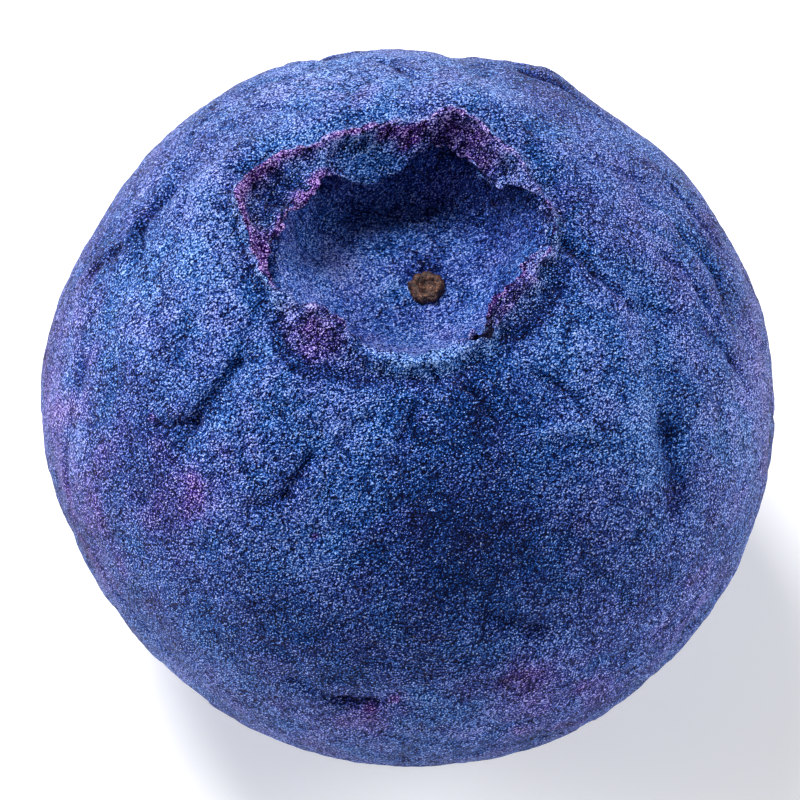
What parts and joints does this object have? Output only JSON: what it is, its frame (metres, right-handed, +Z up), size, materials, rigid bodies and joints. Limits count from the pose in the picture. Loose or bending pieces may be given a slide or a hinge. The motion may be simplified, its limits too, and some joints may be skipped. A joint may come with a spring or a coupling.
{
  "type": "freeze-dried wild blueberry",
  "caption": "Small whole freeze-dried blueberry with a ragged crown of dried sepals round a shallow cup, standing on its stem end.",
  "frame": {"origin": "middle of the berry's bounding box in plan, on the plane that its flat spot rests on", "axes": "+Z up through the crown, -Y towards the viewer, +X to the viewer's right"},
  "size_m": [0.01, 0.01, 0.0085],
  "materials": {
    "bloomed_skin": "dry matt skin under a pale waxy bloom"
  },
  "bodies": {
    "root": {"berry": "bloomed_skin"}
  },
  "joints": []
}
